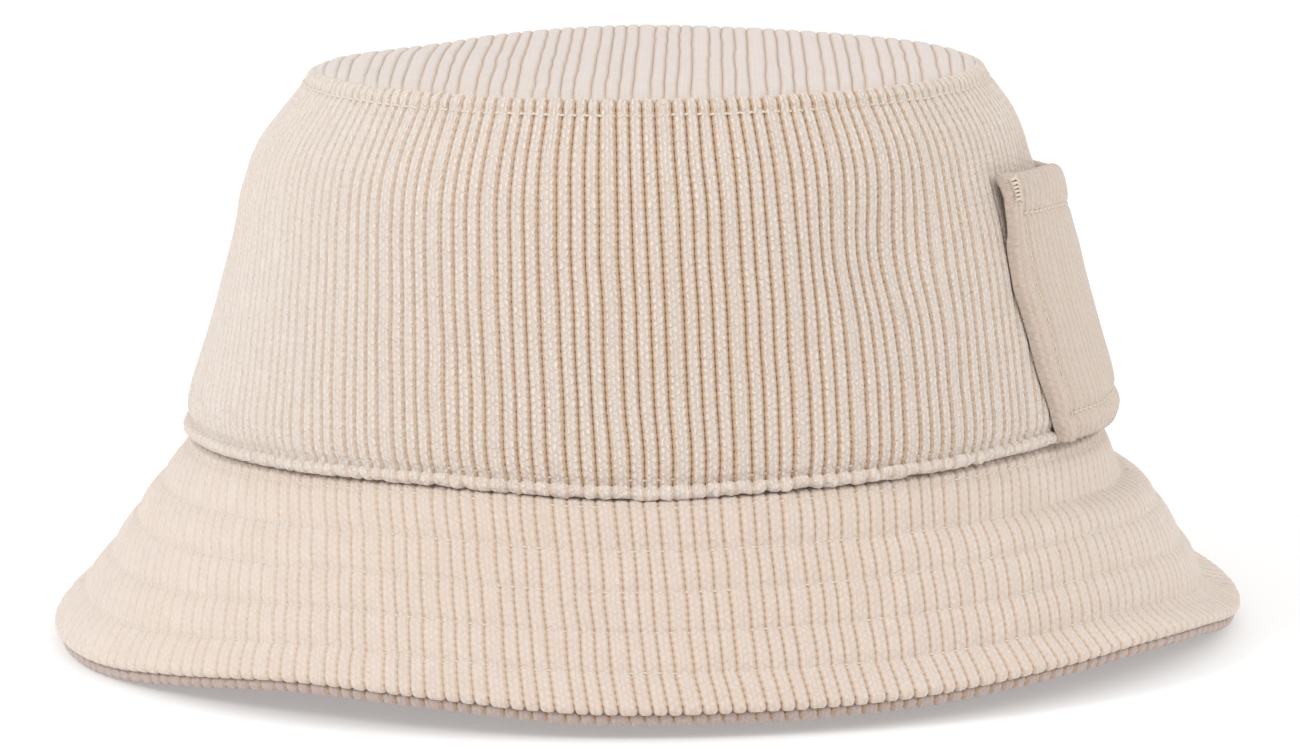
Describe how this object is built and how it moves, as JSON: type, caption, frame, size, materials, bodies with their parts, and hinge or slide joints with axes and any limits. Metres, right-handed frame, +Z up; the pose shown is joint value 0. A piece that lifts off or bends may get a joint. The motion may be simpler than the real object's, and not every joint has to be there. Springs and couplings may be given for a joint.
{
  "type": "bucket hat",
  "caption": "Corduroy bucket hat: round-topped crown, quilted sloping brim, lining, sweatband, and a patch pocket on the wearer's left whose mouth pulls open.",
  "frame": {"origin": "centre of the hat's footprint, on the surface that the edge of the brim stands on", "axes": "+Z up through the crown, -Y the hat's front, +X the wearer's left, where the pocket is"},
  "size_m": [0.2398, 0.259, 0.1145],
  "materials": {
    "corduroy": "cream cotton corduroy, uneven wales, soft matt pile",
    "lining": "plain-weave cotton, matt",
    "sweatband": "cotton twill tape, matt",
    "stiffener": "non-woven stiffening, matt",
    "thread": "spun polyester sewing thread, slight sheen"
  },
  "bodies": {
    "hat": {"crown_top": "corduroy", "crown_side_front": "corduroy", "crown_side_back": "corduroy", "brim_upper_front": "corduroy", "brim_upper_back": "corduroy", "brim_stiffener_front": "stiffener", "brim_stiffener_back": "stiffener", "brim_under_front": "corduroy", "brim_under_back": "corduroy", "lining_top": "lining", "lining_side_front": "lining", "lining_side_back": "lining", "sweatband": "sweatband", "top_seam_stitch": "thread", "base_seam_stitch": "thread", "brim_stitch_1": "thread", "brim_stitch_2": "thread", "brim_stitch_3": "thread", "brim_stitch_4": "thread", "brim_stitch_5": "thread"},
    "pocket": {"pocket_panel": "corduroy", "pocket_stitch_front": "thread", "pocket_stitch_back": "thread", "pocket_hem_stitch": "thread", "pocket_base_stitch": "thread", "pocket_bartack_front": "thread", "pocket_bartack_back": "thread"}
  },
  "joints": [
    {"name": "pocket_mouth", "type": "hinge", "parent": "hat", "child": "pocket", "pos_m": [0.0945, 0, 0.0368], "axis": [0, 1, 0], "range_deg": [0, 8], "stiffness_Nm_per_rad": 0.02}
  ]
}
